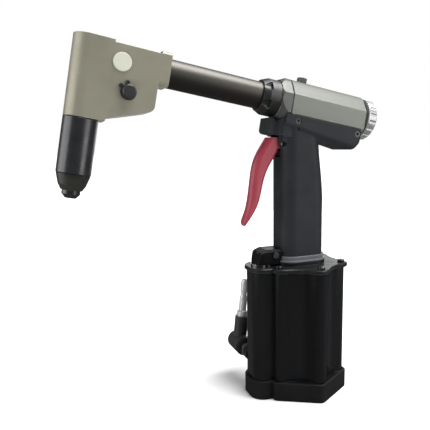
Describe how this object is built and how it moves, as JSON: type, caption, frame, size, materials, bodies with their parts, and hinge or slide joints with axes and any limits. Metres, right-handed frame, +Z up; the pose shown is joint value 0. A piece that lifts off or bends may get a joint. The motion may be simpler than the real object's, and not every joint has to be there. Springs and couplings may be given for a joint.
{
  "type": "air hydraulic riveter",
  "caption": "Pistol-grip air hydraulic riveter with a right-angle head on an extension tube, a lever trigger and a six-sided air cylinder that it stands on.",
  "frame": {"origin": "middle of the underside, on the axis of the air cylinder", "axes": "+Z up; the nose and the trigger point towards -X; the air inlet is on the +Y side"},
  "size_m": [0.292, 0.0979, 0.322],
  "materials": {
    "boot_rubber": "matte",
    "black_anodised": "gloss",
    "black_flange": "satin",
    "handle_plastic": "matte",
    "trigger_red": "satin",
    "grey_body": "satin",
    "grey_head": "satin",
    "black_steel": "gloss",
    "dark_cone": "satin",
    "bright_aluminium": "satin",
    "bare_steel": "satin",
    "chrome_plate": "polished",
    "cream_plug": "satin",
    "seal_rubber": "matte",
    "bearing_brass": "satin",
    "black_plastic": "satin",
    "tube_aluminium": "gloss"
  },
  "bodies": {
    "tool": {"base_boot": "boot_rubber", "cylinder_floor": "bright_aluminium", "floor_screws": "bare_steel", "air_cylinder": "black_anodised", "cylinder_cover": "black_flange", "flange_screws": "black_steel", "ram_tube": "bare_steel", "ram_gland": "bearing_brass", "ram_seal": "seal_rubber", "valve_sleeve": "bearing_brass", "valve_spring": "bare_steel", "inlet_stem": "chrome_plate", "valve_cap_ring": "chrome_plate", "valve_cap": "black_plastic", "rocker_pin": "black_steel", "trigger_pin": "bare_steel", "handle": "handle_plastic", "saddle_screws": "black_steel", "hydraulic_body": "grey_body", "oil_plug": "black_steel", "front_collar": "grey_body", "rod_seal": "seal_rubber", "coupling_nut": "black_steel", "end_cap": "bright_aluminium", "end_cap_ring": "seal_rubber", "return_spring": "bare_steel"},
    "ram_set": {"air_piston": "bright_aluminium", "air_piston_seal": "seal_rubber", "ram": "bare_steel", "piston_nut": "bare_steel"},
    "trigger": {"trigger": "trigger_red"},
    "valve_rod": {"valve_rod": "bare_steel"},
    "valve_rocker": {"valve_rocker": "bare_steel"},
    "valve_spool": {"valve_spool": "bearing_brass", "spool_rings": "seal_rubber"},
    "air_inlet": {"swivel_elbow": "black_plastic", "air_nipple": "chrome_plate"},
    "head": {"extension_tube": "tube_aluminium", "head_housing": "grey_head", "lever_cover": "grey_head", "lever_cover_screws": "black_steel", "access_plugs": "cream_plug", "fulcrum_pin": "black_steel", "fulcrum_clips": "black_steel", "nose_sleeve": "black_steel", "nose_cone": "dark_cone", "nosepiece": "black_steel"},
    "pull_set": {"hydraulic_piston": "bare_steel", "piston_seal": "seal_rubber", "pull_rod": "bare_steel", "rod_pin": "bare_steel"},
    "bell_crank": {"bell_crank": "bare_steel"},
    "jaw_case": {"jaw_case": "bare_steel", "case_pin": "bare_steel", "jaw_spring": "bare_steel"},
    "jaw_pusher": {"jaw_pusher": "bare_steel"},
    "jaw_1": {"jaw_1": "bare_steel"},
    "jaw_2": {"jaw_2": "bare_steel"},
    "jaw_3": {"jaw_3": "bare_steel"}
  },
  "joints": [
    {"name": "ram_lift", "type": "slide", "parent": "tool", "child": "ram_set", "axis": [0, 0, 1], "range_m": [0, 0.05235]},
    {"name": "trigger_pull", "type": "hinge", "parent": "tool", "child": "trigger", "pos_m": [-0.024, 0, 0.237], "axis": [0, -1, 0], "range_deg": [0, 14], "stiffness_Nm_per_rad": 0.3, "springref_deg": -8.59},
    {"name": "valve_rod_lift", "type": "slide", "parent": "tool", "child": "valve_rod", "axis": [0, 0, 1], "range_m": [0, 0.00196]},
    {"name": "rocker_tip", "type": "hinge", "parent": "tool", "child": "valve_rocker", "pos_m": [-0.0322, 0, 0.1356], "axis": [0, -1, 0], "range_deg": [0, 6.92]},
    {"name": "spool_press", "type": "slide", "parent": "tool", "child": "valve_spool", "axis": [0, 0, -1], "range_m": [0, 0.00143], "deforming": ["valve_spring"]},
    {"name": "elbow_swivel", "type": "hinge", "parent": "tool", "child": "air_inlet", "pos_m": [-0.0478, 0.0277, 0.0356], "axis": [0, -1, 0], "range_deg": [-18, 120]},
    {"name": "head_swivel", "type": "hinge", "parent": "tool", "child": "head", "pos_m": [0, 0, 0.272], "axis": [-0.9839, 0, 0.1788], "continuous": true},
    {"name": "rod_draw", "type": "slide", "parent": "head", "child": "pull_set", "axis": [0.9839, 0, -0.1788], "range_m": [0, 0.015], "deforming": ["return_spring"]},
    {"name": "crank_turn", "type": "hinge", "parent": "head", "child": "bell_crank", "pos_m": [-0.16119, 0, 0.27761], "axis": [0, 1, 0], "range_deg": [0, 35.69]},
    {"name": "case_lift", "type": "slide", "parent": "head", "child": "jaw_case", "axis": [0.1788, 0, 0.9839], "range_m": [0, 0.02002]},
    {"name": "pusher_slide", "type": "slide", "parent": "jaw_case", "child": "jaw_pusher", "axis": [-0.1788, 0, -0.9839], "range_m": [0, 0.00118], "deforming": ["jaw_spring"]},
    {"name": "jaw_1_close", "type": "slide", "parent": "jaw_case", "child": "jaw_1", "axis": [0.0297, 0, -0.9996], "range_m": [0, 0.0012]},
    {"name": "jaw_2_close", "type": "slide", "parent": "jaw_case", "child": "jaw_2", "axis": [-0.2772, 0.1801, -0.9438], "range_m": [0, 0.0012]},
    {"name": "jaw_3_close", "type": "slide", "parent": "jaw_case", "child": "jaw_3", "axis": [-0.2772, -0.1801, -0.9438], "range_m": [0, 0.0012]}
  ],
  "couplings": [
    {"joint": "valve_rod_lift", "follows": "trigger_pull", "m_per_rad": 0.008},
    {"joint": "rocker_tip", "follows": "trigger_pull", "ratio": 0.49383},
    {"joint": "spool_press", "follows": "trigger_pull", "m_per_rad": 0.0058272},
    {"joint": "rod_draw", "follows": "ram_lift", "ratio": 0.28655},
    {"joint": "crank_turn", "follows": "ram_lift", "rad_per_m": 11.898},
    {"joint": "case_lift", "follows": "ram_lift", "ratio": 0.38248},
    {"joint": "pusher_slide", "follows": "ram_lift", "ratio": 0.022423},
    {"joint": "jaw_1_close", "follows": "ram_lift", "ratio": 0.022924},
    {"joint": "jaw_2_close", "follows": "ram_lift", "ratio": 0.022924},
    {"joint": "jaw_3_close", "follows": "ram_lift", "ratio": 0.022924}
  ]
}
